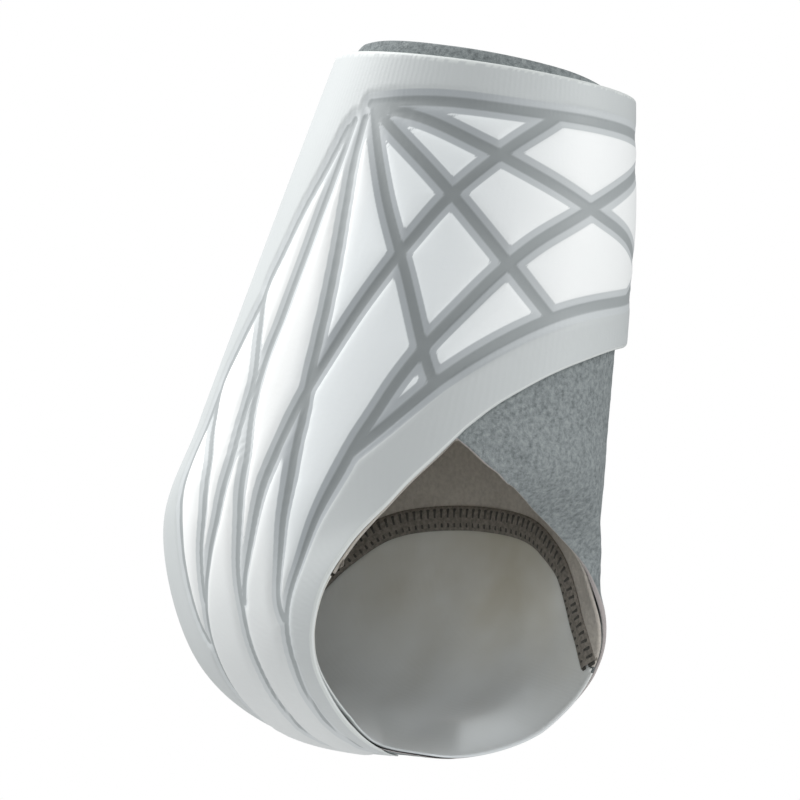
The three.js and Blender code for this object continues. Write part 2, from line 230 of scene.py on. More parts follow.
# The layers are pressed thinner in a strip along the opening. These are the strip's width, then the shares
# of the depth pressed away: on the outer side, more under the sole, and the same on the inner side
PRESSED_STRIP = 0.018
PRESSED_OUTER = 0.55
MORE_UNDER_SOLE = 0.3
PRESSED_INNER = 0.40
MORE_TOWARDS_HEEL = 0.45


def pressed_flat(turn, at):
    """Share of the layers' depth that is pressed away: none in the open, about half round the outer side of
    the opening, and most of it under the sole and at the edge on the inner side."""
    opening = ramp(-turn, 40, 12) + ramp(turn, 150, 25)
    near_shell = np.clip(1 - (shell_bottom(turn) - at) * pitch(turn, at) / PRESSED_STRIP, 0, 1)
    near_foot = np.clip(1 - (1 - at) * pitch(turn, at) / PRESSED_STRIP, 0, 1) * ramp(turn, 55, 45)
    near = np.maximum(opening * near_shell, near_foot)
    inner = PRESSED_INNER + MORE_TOWARDS_HEEL * ramp(turn, 95, 40)
    outer = PRESSED_OUTER + MORE_UNDER_SOLE * ramp(np.abs(turn), 145, 25)
    return np.where(turn > 0, inner, outer) * near * near * (3 - 2 * near)


def wrap_layer(piece, profile, top_edge, bottom_edge, relief=None):
    """Bends a grid round the ankle as one layer with a wall. relief gives the rise of its outside at each
    vertex. Returns turns, places and rows."""
    flat = vertices_of(piece)
    rows = len(profile) - 1
    row = np.rint((1 - flat[:, 1]) / 2 * rows).astype(int)
    turn = 180 * flat[:, 0]
    share, setback, depth = profile[row].T
    top = top_edge(turn)
    bottom = bottom_edge(turn)
    top_inset = np.where(share < 1, setback, profile[0, 1]) / pitch(turn, top)
    bottom_inset = np.where(share > 0, setback, profile[0, 1]) / pitch(turn, bottom)
    at = (top + top_inset) * (1 - share) + (bottom - bottom_inset) * share
    depth = depth * (1 - pressed_flat(turn, at))
    normal = form_normal(turn, at)
    points = form_point(turn, at) - normal * depth[:, None]
    if relief is not None:
        points += normal * relief(points, turn, at, row)[:, None]
    place_vertices(piece, points)
    keep_map(piece, turn, at)
    return turn, at, row


WELD_DISTANCE = 0.00002


def close_seams(piece):
    """Joins the grid's first and last columns and rows."""
    bpy.ops.object.select_all(action="DESELECT")
    piece.select_set(True)
    bpy.context.view_layer.objects.active = piece
    bpy.ops.object.mode_set(mode="EDIT")
    bpy.ops.mesh.select_all(action="SELECT")
    bpy.ops.mesh.remove_doubles(threshold=WELD_DISTANCE)
    bpy.ops.object.mode_set(mode="OBJECT")
    bpy.ops.object.shade_smooth()


# Lines of the pressed lattice: turns, then places
GROOVES = [
    # Band under the top edge
    ([-88.8, -61.7, -31.7, 2.2, 36, 100, 150],
     [0.066, 0.057, 0.055, 0.05, 0.05, 0.055, 0.06]),
    # Three that fan out from the outer side towards the front
    ([-86.5, -65.6, -44.9, -23.1, 0.5, 24, 62],
     [0.07, 0.081, 0.107, 0.138, 0.17, 0.194, 0.245]),
    ([-86.5, -61.5, -38.1, -14],
     [0.07, 0.14, 0.222, 0.315]),
    ([-87.4, -73.4, -58.5, -45.7],
     [0.067, 0.176, 0.285, 0.422]),
    # Three that cross them
    ([-19.5, -36.5, -51.3, -61.3, -69.3, -75.5, -80.4, -82.4, -88.1, -99],
     [0.056, 0.108, 0.17, 0.235, 0.304, 0.38, 0.466, 0.578, 0.683, 0.785]),
    ([70, 45, 21.4, 5.5, -9.8, -23.3, -33.8, -42.3, -49.6, -55.3, -59.3, -63.1, -69.8, -79.2, -93.8,
      -108.8, -125.3, -141, -156, -172],
     [0.055, 0.083, 0.117, 0.147, 0.183, 0.221, 0.266, 0.318, 0.373, 0.437, 0.519, 0.614, 0.7,
      0.796, 0.873, 0.919, 0.942, 0.951, 0.953, 0.95]),
    ([110, 75, 52, 26],
     [0.056, 0.12, 0.2, 0.265]),
    # Band above the lower edge
    ([170, 150, 120, 90, 60, 26.3, -13, -42, -60.9],
     [0.86, 0.73, 0.46, 0.3, 0.248, 0.265, 0.313, 0.415, 0.569]),
    # Line that closes the lattice on the inner side, in front of the heel
    ([150, 151, 154, 158, 163, 170],
     [0.06, 0.24, 0.42, 0.6, 0.75, 0.86]),
    # Ribs, down the side and around under the heel
    ([-89.4, -88.6, -86.2, -83.6, -81.6, -80.3, -79.2, -77.1, -75.8, -78.7, -84.1, -94.4],
     [0.085, 0.14, 0.194, 0.248, 0.304, 0.364, 0.429, 0.508, 0.601, 0.684, 0.774, 0.868]),
    ([-94, -95, -95.9, -97.1, -98, -96.1, -90.9, -90.9, -95.1, -102.6, -116.7, -134, -150.9, -170],
     [0.088, 0.149, 0.207, 0.326, 0.389, 0.461, 0.55, 0.639, 0.716, 0.804, 0.873, 0.905, 0.913, 0.914]),
    ([-96.3, -100.6, -105.4, -108.7, -111.4, -106.1, -100.6, -99, -96.4, -98.3, -104.4, -112.4,
      -118.4, -125.8, -134.6, -143.9, -153.1, -172],
     [0.098, 0.149, 0.196, 0.243, 0.292, 0.346, 0.406, 0.473, 0.552, 0.626, 0.681, 0.732, 0.769,
      0.804, 0.83, 0.849, 0.858, 0.868]),
    ([-111, -116.2, -119, -114.1, -106.2, -104.2, -108, -112.9],
     [0.3, 0.358, 0.408, 0.469, 0.539, 0.614, 0.673, 0.731]),
    ([-119, -119.3, -118.3, -116.8, -117.9, -119.6, -122.5],
     [0.42, 0.49, 0.554, 0.617, 0.67, 0.72, 0.777]),
]
# Outline of the padded field inside the lattice: the rest of the shell is its plain border
PAD_FIELD = np.array([
    [-88.8, 0.066], [-61.7, 0.057], [-31.7, 0.055], [2.2, 0.05], [36, 0.05], [100, 0.055],
    [150, 0.06], [151, 0.24], [154, 0.42], [158, 0.6], [163, 0.75], [170, 0.86], [150, 0.73],
    [120, 0.46], [90, 0.3], [60, 0.248], [26.3, 0.265], [-13, 0.313], [-42, 0.415],
    [-60.9, 0.569], [-63.1, 0.614], [-69.8, 0.7], [-79.2, 0.796], [-93.8, 0.873], [-108.8, 0.919],
    [-125.3, 0.942], [-141, 0.951], [-156, 0.953], [-172, 0.95], [-178, 0.92], [-178, 0.875],
    [-172, 0.868], [-153.1, 0.858], [-143.9, 0.849], [-134.6, 0.83], [-125.8, 0.804],
    [-122.5, 0.777], [-119.6, 0.72], [-117.9, 0.67], [-116.8, 0.617], [-118.3, 0.554],
    [-119.3, 0.49], [-119, 0.408], [-116.2, 0.358], [-111.4, 0.292], [-108.7, 0.243],
    [-105.4, 0.196], [-100.6, 0.149], [-96.3, 0.098], [-94, 0.088],
])


def curve_through(turns, places, spacing):
    """Points on a smooth curve through rows of turns and places, at about even distances on the form."""
    rows = np.stack([turns, places], axis=-1).astype(float)
    padded = np.vstack([2 * rows[0] - rows[1], rows, 2 * rows[-1] - rows[-2]])
    dense = []
    steps = 60
    for p0, p1, p2, p3 in zip(padded, padded[1:], padded[2:], padded[3:]):
        t = np.linspace(0, 1, steps, endpoint=False)[:, None]
        dense.append(0.5 * (
            2 * p1 + (p2 - p0) * t + (2 * p0 - 5 * p1 + 4 * p2 - p3) * t ** 2
            + (3 * p1 - p0 - 3 * p2 + p3) * t ** 3
        ))
    dense = np.vstack([*dense, rows[-1:]])
    points = form_point(dense[:, 0], dense[:, 1])
    run = np.concatenate([[0], np.cumsum(np.linalg.norm(np.diff(points, axis=0), axis=1))])
    even = np.linspace(0, run[-1], max(2, int(run[-1] / spacing) + 1))
    return np.stack([np.interp(even, run, dense[:, 0]), np.interp(even, run, dense[:, 1])], axis=-1)


def tree_along(line):
    """A line on the form, ready for distances to be measured to it."""
    tree = KDTree(len(line))
    for number, point in enumerate(form_point(line[:, 0], line[:, 1])):
        tree.insert(point, number)
    tree.balance()
    return tree


def distances(tree, points):
    return np.array([tree.find(point)[2] for point in points])


GROOVE_POINT_SPACING = 0.0004
groove_tree = tree_along(np.vstack([
    curve_through(turns, places, GROOVE_POINT_SPACING) for turns, places in GROOVES
]))


def groove_distance(points):
    """Distance of each point to the middle of the nearest groove, in millimetres."""
    return distances(groove_tree, points) * 1000


NARROWER_AT_RIBS = 0.1
NARROWER_AT_HEEL = 0.5


def groove_narrowing(turn, at):
    """The grooves between the ribs are narrower than those of the lattice, most of all under the heel."""
    ribs = ramp(-turn, 78, 12)
    heel = ramp(at, 0.60, 0.18) * ramp(-turn, 60, 10)
    return 1 + NARROWER_AT_RIBS * ribs + NARROWER_AT_HEEL * heel


def inside_outline(outline, turn, at):
    """Whether each place lies inside a closed outline on the form."""
    inside = np.zeros(turn.shape, bool)
    for (turn_a, at_a), (turn_b, at_b) in zip(outline, np.roll(outline, -1, axis=0)):
        if at_a == at_b:
            continue
        crosses = (at_a > at) != (at_b > at)
        inside ^= crosses & (turn < turn_a + (at - at_a) / (at_b - at_a) * (turn_b - turn_a))
    return inside


shell_profile = layer_profile(SHELL_ROWS, SHELL_INNER_ROWS, 0, SHELL_WALL, SHELL_EDGE_ROUND)
# Depth of the pressing at distances from the middle of a groove, both in millimetres: a flat channel,
# a sloping shoulder, the cut edge of the pad, and the pad's crown
PRESSING = np.array([
    [0.0, -0.80], [1.0, -0.78], [1.5, -0.52], [2.7, -0.36], [3.2, -0.10], [4.2, 0.03], [6.5, 0.14],
    [10.0, 0.18],
])


# Share by which the pressing is shallower on the inner side
SHALLOWER_INNER = 0.6
# In millimetres: what the ribs are puffed by beyond the pads, the most that the border rises, the distance
# from a groove's middle where its shoulder ends, the height of a row, and the way in from the shell's edges
# over which the pressing fades out
RIB_PUFF = 0.35
BORDER_RISE = 0.02
SHOULDER_END = 3
ROW_HEIGHT = 1.1
FADE_AT_EDGE = 3


def shell_relief(points, turn, at, row):
    distance = groove_distance(points) * groove_narrowing(turn, at)
    rise = np.interp(distance, PRESSING[:, 0], PRESSING[:, 1])
    # The pressing is shallower from the front round the inner side
    rise *= 1 - SHALLOWER_INNER * ramp(turn, 5, 15)
    # The narrow ribs round the heel are puffed more than the flat pads, from 2.6 mm off a groove's middle
    rise += ramp(-turn, 76, 14) * RIB_PUFF * ramp(distance, start=2.6, length=3)
    in_field = inside_outline(PAD_FIELD, turn, at)
    rise = np.where(in_field | (distance < SHOULDER_END), rise, np.minimum(rise, BORDER_RISE))
    outside = row <= SHELL_ROWS
    near_edge = np.minimum(row, SHELL_ROWS - row) * ROW_HEIGHT
    return np.where(outside, rise * np.clip(near_edge / FADE_AT_EDGE, 0, 1), 0) / 1000


shell = add_grid("outer_shell_laminate", SHELL_COLUMNS, len(shell_profile) - 1)
turn, at, row = wrap_layer(shell, shell_profile, shell_top, shell_bottom, shell_relief)
outside = row <= SHELL_ROWS
# The inside of the shell counts as far from any groove
FAR_FROM_GROOVES = 20
from_groove = groove_distance(form_point(turn, at)) * groove_narrowing(turn, at)
keep_values(shell, "groove_mm", np.where(outside, from_groove, FAR_FROM_GROOVES))
# The pads are white. Under the heel the ribs are painted a little greyer, as painted shade where less light
# reaches them.
heel_painted_shade = ramp(at, 0.62, 0.15) * ramp(-turn, 60, 10)
in_field = outside & inside_outline(PAD_FIELD, turn, at)
keep_values(shell, "pad", np.where(in_field, 1 - 0.6 * heel_painted_shade, 0.0))
keep_values(shell, "rim", np.where(outside, 0.0, 1.0))
# The pressing is paler in the ribs and towards the front, and the pads there are whiter. In the ribs this is
# painted light, standing in for the light from the left.
ribs = ramp(-turn, 76, 12)
front = ramp(turn, -50, 40)
keep_values(shell, "pale", np.maximum(ribs, 0.8 * front))
close_seams(shell)


def linear(hex_colour):
    """Linear colour of an sRGB hex value."""
    parts = [int(hex_colour[i:i + 2], 16) / 255 for i in (1, 3, 5)]
    return (*(c / 12.92 if c <= 0.04045 else ((c + 0.055) / 1.055) ** 2.4 for c in parts), 1)


def new_material(name):
    material = bpy.data.materials.new(name)
    material.use_nodes = True
    material.node_tree.nodes.clear()
    return material


def add_node(material, kind, links=(), **settings):
    """Adds a node. settings are its properties, or its inputs by name or number as in_NAME. links are
    pairs of an input and the output that feeds it."""
    node = material.node_tree.nodes.new(kind)
    for name, value in settings.items():
        if not name.startswith("in_"):
            setattr(node, name, value)
    for name, value in settings.items():
        if name.startswith("in_"):
            key = name[3:]
            node.inputs[int(key) if key.isdigit() else key.replace("_", " ")].default_value = value
    for key, output in links:
        material.node_tree.links.new(output, node.inputs[key])
    return node


def set_surface(material, links, **settings):
    """Ends a material with its surface and its output."""
    surface = add_node(material, "ShaderNodeBsdfPrincipled", links, **settings)
    add_node(material, "ShaderNodeOutputMaterial", [("Surface", surface.outputs[0])])


def set_ramp(node, stops):
    """Sets a colour ramp's stops, each a place and a colour or a grey."""
    ramp = node.color_ramp
    while len(ramp.elements) > 1:
        ramp.elements.remove(ramp.elements[-1])
    for number, (place, colour) in enumerate(stops):
        element = ramp.elements[0] if number == 0 else ramp.elements.new(place)
        element.position = place
        element.color = colour if isinstance(colour, tuple) else (colour, colour, colour, 1)


# Thermoplastic film on foam, hot pressed: a smooth, softly matt white. The pads are whiter than the
# border. In the grooves the film is pressed through to the grey foam. The border keeps a faint fine rib
# of 0.6 mm from the knit under the film, drawn at about 1.5 mm so that it shows.
laminate = new_material("pressed_tpu_laminate")
PAD_WHITE = linear("#F1F5F6")
# Painted light: this whiter pad colour stands in for the light from the left on the ribs. It is also used
# towards the front.
LIT_RIB_WHITE = linear("#FCFDFC")
BORDER_GREY = linear("#C9CDCD")
SHOULDER_GREY = linear("#B0B5B8")
CHANNEL_GREY = linear("#8E9394")
# Painted light: these paler groove greys stand in for the light from the left on the ribs. They are also used
# towards the front.
LIT_PALE_SHOULDER = linear("#CFD3D4")
LIT_PALE_CHANNEL = linear("#A6ABAC")
RIM_GREY = linear("#DADEDC")
groove = add_node(laminate, "ShaderNodeAttribute", attribute_name="groove_mm")
pad = add_node(laminate, "ShaderNodeAttribute", attribute_name="pad")
rim = add_node(laminate, "ShaderNodeAttribute", attribute_name="rim")
pale = add_node(laminate, "ShaderNodeAttribute", attribute_name="pale")
shoulder = add_node(
    laminate, "ShaderNodeMix", [(0, pale.outputs["Fac"])],
    data_type="RGBA", in_6=SHOULDER_GREY, in_7=LIT_PALE_SHOULDER,
)
channel = add_node(
    laminate, "ShaderNodeMix", [(0, pale.outputs["Fac"])],
    data_type="RGBA", in_6=CHANNEL_GREY, in_7=LIT_PALE_CHANNEL,
)
cloth_map = add_node(laminate, "ShaderNodeUVMap", uv_map="cloth")
place = add_node(laminate, "ShaderNodeTexCoord")
cloud = add_node(
    laminate, "ShaderNodeTexNoise", [("Vector", place.outputs["Object"])],
    in_Scale=28, in_Detail=3, in_Roughness=0.5,
)
white = add_node(
    laminate, "ShaderNodeMix", [(0, pale.outputs["Fac"])], data_type="RGBA", in_6=PAD_WHITE, in_7=LIT_RIB_WHITE,
)
# The pad value also carries the painted shade under the heel, which mixes the ribs there towards the border
# grey.
ground = add_node(
    laminate, "ShaderNodeMix", [(0, pad.outputs["Fac"]), (7, white.outputs[2])],
    data_type="RGBA", in_6=BORDER_GREY,
)
tint = add_node(
    laminate, "ShaderNodeMapRange", [("Value", cloud.outputs["Fac"])],
    in_From_Min=0.3, in_From_Max=0.7, in_To_Min=0.96, in_To_Max=1.0,
)
ground = add_node(
    laminate, "ShaderNodeMix", [(6, ground.outputs[2]), (7, tint.outputs[0])],
    data_type="RGBA", blend_type="MULTIPLY", in_0=1.0,
)
shoulder_part = add_node(
    laminate, "ShaderNodeMapRange", [("Value", groove.outputs["Fac"])],
    interpolation_type="SMOOTHSTEP", in_From_Min=2.75, in_From_Max=3.2, in_To_Min=1, in_To_Max=0,
)
channel_part = add_node(
    laminate, "ShaderNodeMapRange", [("Value", groove.outputs["Fac"])],
    interpolation_type="SMOOTHSTEP", in_From_Min=1.0, in_From_Max=1.6, in_To_Min=1, in_To_Max=0,
)
film = add_node(
    laminate, "ShaderNodeMix",
    [(0, shoulder_part.outputs[0]), (6, ground.outputs[2]), (7, shoulder.outputs[2])], data_type="RGBA",
)
film = add_node(
    laminate, "ShaderNodeMix",
    [(0, channel_part.outputs[0]), (6, film.outputs[2]), (7, channel.outputs[2])], data_type="RGBA",
)
film = add_node(
    laminate, "ShaderNodeMix", [(0, rim.outputs["Fac"]), (6, film.outputs[2])],
    data_type="RGBA", in_7=RIM_GREY,
)
rib = add_node(
    laminate, "ShaderNodeTexWave", [("Vector", cloth_map.outputs["UV"])],
    wave_type="BANDS", bands_direction="X", in_Scale=196, in_Distortion=1.2, in_Detail=2, in_Detail_Scale=1.5,
)
plain = add_node(
    laminate, "ShaderNodeMapRange", [("Value", pad.outputs["Fac"])],
    in_From_Min=0, in_From_Max=1, in_To_Min=0.016, in_To_Max=0.004,
)
rib_height = add_node(
    laminate, "ShaderNodeMath", [(0, rib.outputs["Fac"]), (1, plain.outputs[0])], operation="MULTIPLY",
)
grain = add_node(
    laminate, "ShaderNodeTexNoise", [("Vector", place.outputs["Object"])], in_Scale=900, in_Detail=2,
)
height = add_node(
    laminate, "ShaderNodeMath", [(0, grain.outputs["Fac"]), (2, rib_height.outputs[0])],
    operation="MULTIPLY_ADD", in_1=0.025,
)
bump = add_node(
    laminate, "ShaderNodeBump", [("Height", height.outputs[0])], in_Strength=1.0, in_Distance=0.001,
)
set_surface(
    laminate, [("Base Color", film.outputs[2]), ("Normal", bump.outputs["Normal"])],
    in_Roughness=0.55, in_IOR=1.5,
)

shell.data.materials.append(laminate)
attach(shell, "root")
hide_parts("outer_shell")

# Felt sleeve
# A thin knitted sleeve under the shell with a grey brushed-loop face, cut with a bare edge. It shows as a
# strip above the shell and as the flap over the instep.
LAYER_GAP = 0.0003
FELT_WALL = 0.0014
FELT_DEPTH = SHELL_WALL + LAYER_GAP
FELT_RISE = 0.004
FELT_SETBACK = 0.002
FELT_SHORT = 0.005
FELT_EDGE_ROUND = 0.0005
FELT_COLUMNS = 360
FELT_ROWS = 120
FELT_INNER_ROWS = 40
SOLE_OVERLAP = 0.018
# Metres along the form for one whole step of at, down the top and under the sole
TOP_PITCH = (FRONT_Z[0] - BACK_Z[1]) / (OVAL_AT[1] - OVAL_AT[0])
SOLE_PITCH = (BACK_X[7] - BACK_X[6]) / (OVAL_AT[7] - OVAL_AT[6])
# The flap's free edge runs from the notch, on the outer side, to the edge around the foot
NOTCH_TURN = -36
FELT_EDGE = np.array([
    [-36, 0.549], [-31.5, 0.585], [-26.6, 0.638], [-22, 0.702], [-16.5, 0.8], [-10.8, 0.88],
    [-2, 0.948], [7.8, 0.992], [22.4, 1.034], [36, 1.042], [50, 1.028], [66, 1.004], [85, 1], [180, 1],
])
FELT_TOP = np.array([
    [-180, -0.30], [-122, -0.30], [-110, 0.75], [-63, 1.00], [-17, 0.80], [5, 0.35], [20, -0.30],
    [180, -0.30],
])


def felt_top(turn):
    return -FELT_RISE / TOP_PITCH * smooth_curve(FELT_TOP[:, 0], FELT_TOP[:, 1], turn)


def felt_bottom(turn):
    free = smooth_curve(FELT_EDGE[:, 0], FELT_EDGE[:, 1], turn)
    t = ramp(-turn, 162, 18)
    under_sole = t * t * (3 - 2 * t)
    covered = shell_bottom(turn) - FELT_SETBACK / TOP_PITCH * (1 - under_sole)
    covered += SOLE_OVERLAP / SOLE_PITCH * under_sole
    return np.where(turn >= NOTCH_TURN, free, np.minimum(covered, 1.0))


def felt_cut(turn):
    """The felt's own edge. On the inner side and under the sole it stops short of the lining's edge."""
    return felt_bottom(turn) - FELT_SHORT * (ramp(turn, 100, 25) + ramp(-turn, 160, 20))


def ripple(points, size, seed):
    """Smooth uneven rise and fall between about -1 and 1, in waves of a size in metres."""
    rng = np.random.default_rng(seed)
    total = np.zeros(len(points))
    # Nine waves seldom add up to more than about 4
    for _ in range(9):
        direction = unit(rng.normal(size=3))
        wave = size * rng.uniform(0.6, 1.6)
        total += np.sin(points @ direction * (2 * math.pi / wave) + rng.uniform(0, 2 * math.pi))
    return total / 4


felt_profile = layer_profile(FELT_ROWS, FELT_INNER_ROWS, FELT_DEPTH, FELT_WALL, FELT_EDGE_ROUND)
NAP_RISE = 0.00008
NAP_SIZE = 0.004


def felt_relief(points, turn, at, row):
    # The brushed face is uneven by about a tenth of a millimetre where it is free
    return NAP_RISE * ripple(points, NAP_SIZE, seed=3) * ((row > 0) & (row < FELT_ROWS))


felt = add_grid("felt_sleeve_cloth", FELT_COLUMNS, len(felt_profile) - 1)
turn, at, row = wrap_layer(felt, felt_profile, felt_top, felt_cut, felt_relief)
# The six middle rows of the rounded lower edge are the bare cut
keep_values(felt, "cut_edge", np.where((row > FELT_ROWS + 1) & (row < FELT_ROWS + 8), 1.0, 0.0))
close_seams(felt)

# Brushed nylon loop: matt, with clumps of 1 to 2 mm that catch the light, and a paler cut edge
loop_felt = new_material("brushed_loop_felt")
place = add_node(loop_felt, "ShaderNodeTexCoord")
clumps = add_node(
    loop_felt, "ShaderNodeTexNoise", [("Vector", place.outputs["Object"])],
    in_Scale=800, in_Detail=4, in_Roughness=0.7,
)
patches = add_node(
    loop_felt, "ShaderNodeTexNoise", [("Vector", place.outputs["Object"])], in_Scale=110, in_Detail=3,
)
mixed = add_node(
    loop_felt, "ShaderNodeMath", [(0, patches.outputs["Fac"]), (2, clumps.outputs["Fac"])],
    operation="MULTIPLY_ADD", in_1=0.15,
)
tone = add_node(loop_felt, "ShaderNodeValToRGB", [("Fac", mixed.outputs[0])])
set_ramp(tone, [(0.36, linear("#6E7475")), (0.57, linear("#8D9394")), (0.80, linear("#A5ABAB"))])
edge = add_node(loop_felt, "ShaderNodeAttribute", attribute_name="cut_edge")
colour = add_node(
    loop_felt, "ShaderNodeMix", [(0, edge.outputs["Fac"]), (6, tone.outputs["Color"])],
    data_type="RGBA", in_7=linear("#B9B2B0"),
)
bump = add_node(
    loop_felt, "ShaderNodeBump", [("Height", mixed.outputs[0])], in_Strength=1.0, in_Distance=0.0006,
)
set_surface(
    loop_felt, [("Base Color", colour.outputs[2]), ("Normal", bump.outputs["Normal"])],
    in_Roughness=1.0, in_IOR=1.5, in_Specular_IOR_Level=0.15,
)

felt.data.materials.append(loop_felt)
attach(felt, "root")
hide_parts("felt_sleeve")

# Ankle lining
# A dark, soft brushed knit laminated to the inside of the felt, from the top edge down to the seam with
# the heel's lining, and along the flap over the instep.
LINING_WALL = 0.0009
LINING_SETBACK = 0.001
LINING_COLUMNS = 320
ANKLE_ROWS = 190
ANKLE_CREASE = 0.0002
ANKLE_CREASE_SIZE = 0.030
LINING_DEPTH = FELT_DEPTH + FELT_WALL + LAYER_GAP
SEAM_PATH = np.array([
    [112, 1.035], [104, 1.012], [92.4, 0.982], [80.5, 0.928], [71.9, 0.831], [69, 0.745],
    [74.3, 0.663], [82.4, 0.614], [97, 0.577], [112.6, 0.562], [125, 0.571], [137.5, 0.614],
    [160, 0.682], [180, 0.702], [200, 0.682], [222.5, 0.614], [235, 0.571], [247.4, 0.562],
    [263, 0.577], [277.6, 0.614], [285.7, 0.663], [291, 0.745], [288.1, 0.831], [279.5, 0.928],
    [267.6, 0.982], [256, 1.012], [248, 1.035],
])
SEAM_POINT_SPACING = 0.0005
seam_line = curve_through(SEAM_PATH[:, 0], SEAM_PATH[:, 1], SEAM_POINT_SPACING)
# The heel's side of the seam is closed well beyond the edge around the foot
HEEL_FIELD = np.vstack([seam_line, [[248, 1.3], [112, 1.3]]])


def lining_top(turn):
    return felt_top(turn) + LINING_SETBACK / TOP_PITCH


def on_heel_side(turn, at):
    """Whether places belong to the heel's lining. The seam leaves the edge around the foot near turn 100
    and comes back to it near 260, so turns are counted on past the heel."""
    return inside_outline(HEEL_FIELD, np.where(turn < 0, turn + 360, turn), at)


def give_wall(piece, thickness, offset):
    """Gives the active sheet its wall. offset is -1 for a wall on its inner side, and 0 for both sides."""
    solidify = piece.modifiers.new("wall", "SOLIDIFY")
    solidify.thickness = thickness
    solidify.offset = offset
    bpy.ops.object.modifier_apply(modifier="wall")


def make_lining(name, rows, heel_side, creases, wall):
    """One of the two linings: a single sheet over the whole tube, with the other side of the seam deleted,
    given its wall."""
    piece = add_grid(name, LINING_COLUMNS, rows)
    flat = vertices_of(piece)
    turn = 180 * flat[:, 0]
    share = (1 - flat[:, 1]) / 2
    at = lining_top(turn) * (1 - share) + felt_bottom(turn) * share
    normal = form_normal(turn, at)
    pressed = pressed_flat(turn, at)
    depth = LINING_DEPTH * (1 - pressed)
    points = form_point(turn, at) - normal * depth[:, None]
    points -= normal * (creases(points) * (1 - pressed))[:, None]
    place_vertices(piece, points)
    keep_map(piece, turn, at)
    belongs = on_heel_side(turn, at) == heel_side
    bpy.ops.object.mode_set(mode="EDIT")
    bpy.ops.mesh.select_mode(type="VERT")
    bpy.ops.mesh.select_all(action="DESELECT")
    bpy.ops.object.mode_set(mode="OBJECT")
    piece.data.vertices.foreach_set("select", ~belongs)
    bpy.ops.object.mode_set(mode="EDIT")
    bpy.ops.mesh.delete(type="VERT")
    bpy.ops.object.mode_set(mode="OBJECT")
    close_seams(piece)
    give_wall(piece, wall, -1)
    return piece


def ankle_creases(points):
    return ANKLE_CREASE * (1 + ripple(points, ANKLE_CREASE_SIZE, seed=5))


ankle_lining = make_lining("ankle_lining_knit", ANKLE_ROWS, False, ankle_creases, LINING_WALL)

# Brushed polyester knit: dark warm grey and quite matt, with a soft nap of 0.5 mm, drawn at 1 mm
brushed_knit = new_material("brushed_polyester_knit")
place = add_node(brushed_knit, "ShaderNodeTexCoord")
nap = add_node(
    brushed_knit, "ShaderNodeTexNoise", [("Vector", place.outputs["Object"])], in_Scale=900, in_Detail=3,
)
shade = add_node(
    brushed_knit, "ShaderNodeTexNoise", [("Vector", place.outputs["Object"])], in_Scale=60, in_Detail=2,
)
mixed = add_node(
    brushed_knit, "ShaderNodeMath", [(0, shade.outputs["Fac"]), (2, nap.outputs["Fac"])],
    operation="MULTIPLY_ADD", in_1=0.6,
)
tone = add_node(brushed_knit, "ShaderNodeValToRGB", [("Fac", mixed.outputs[0])])
set_ramp(tone, [(0.5, linear("#A8A299")), (0.8, linear("#B6B0A7")), (1.0, linear("#C0BAB0"))])
bump = add_node(
    brushed_knit, "ShaderNodeBump", [("Height", nap.outputs["Fac"])], in_Strength=0.8, in_Distance=0.0003,
)
set_surface(
    brushed_knit, [("Base Color", tone.outputs["Color"]), ("Normal", bump.outputs["Normal"])],
    in_Roughness=0.95, in_IOR=1.5, in_Sheen_Weight=0.15,
)

ankle_lining.data.materials.append(brushed_knit)
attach(ankle_lining, "root")
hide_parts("ankle_lining")

# Heel lining
# A smooth grey stretch cloth in a separate piece that cups the heel. It isn't glued all over, so it
# hangs in soft creases that run down from the seam.
HEEL_WALL = 0.0005
HEEL_ROWS = 200
LONG_CREASE = 0.0010
LONG_CREASE_SIZE = 0.026
BROAD_CREASE = 0.0004
BROAD_CREASE_SIZE = 0.045
seam_tree = tree_along(seam_line)


def heel_creases(points):
    # The long creases change slowly down the heel, and lean forward
    slant = points[:, 2] + 0.35 * points[:, 0]
    drawn_out = np.stack([points[:, 0], points[:, 1], 0.25 * slant], axis=-1)
    long = ripple(drawn_out, LONG_CREASE_SIZE, seed=11)
    broad = ripple(points, BROAD_CREASE_SIZE, seed=12)
    # The cloth is held flat for 8 mm beside the seam, and hangs free from 22 mm on
    free = ramp(distances(seam_tree, points), start=0.008, length=0.014)
    return free * (LONG_CREASE * (1 + long) + BROAD_CREASE * (1 + broad))


heel_lining = make_lining("heel_lining_cloth", HEEL_ROWS, True, heel_creases, HEEL_WALL)

# Warp-knit stretch cloth: smooth and even, with a slight silky sheen. Its knit is 0.4 mm, drawn at about
# 1.5 mm. Low in the cup it is painted a little paler and cooler, as a painted reflection of the pale room.
stretch_cloth = new_material("warp_knit_stretch_cloth")
place = add_node(stretch_cloth, "ShaderNodeTexCoord")
cloth_map = add_node(stretch_cloth, "ShaderNodeUVMap", uv_map="cloth")
wales = add_node(
    stretch_cloth, "ShaderNodeTexWave", [("Vector", cloth_map.outputs["UV"])],
    wave_type="BANDS", bands_direction="X", in_Scale=196, in_Distortion=0.6,
)
shade = add_node(
    stretch_cloth, "ShaderNodeTexNoise", [("Vector", place.outputs["Object"])], in_Scale=32, in_Detail=3,
)
tone = add_node(stretch_cloth, "ShaderNodeValToRGB", [("Fac", shade.outputs["Fac"])])
set_ramp(tone, [(0.36, linear("#C9C5B6")), (0.64, linear("#DFE0DB"))])
heights = add_node(stretch_cloth, "ShaderNodeSeparateXYZ", [("Vector", place.outputs["Object"])])
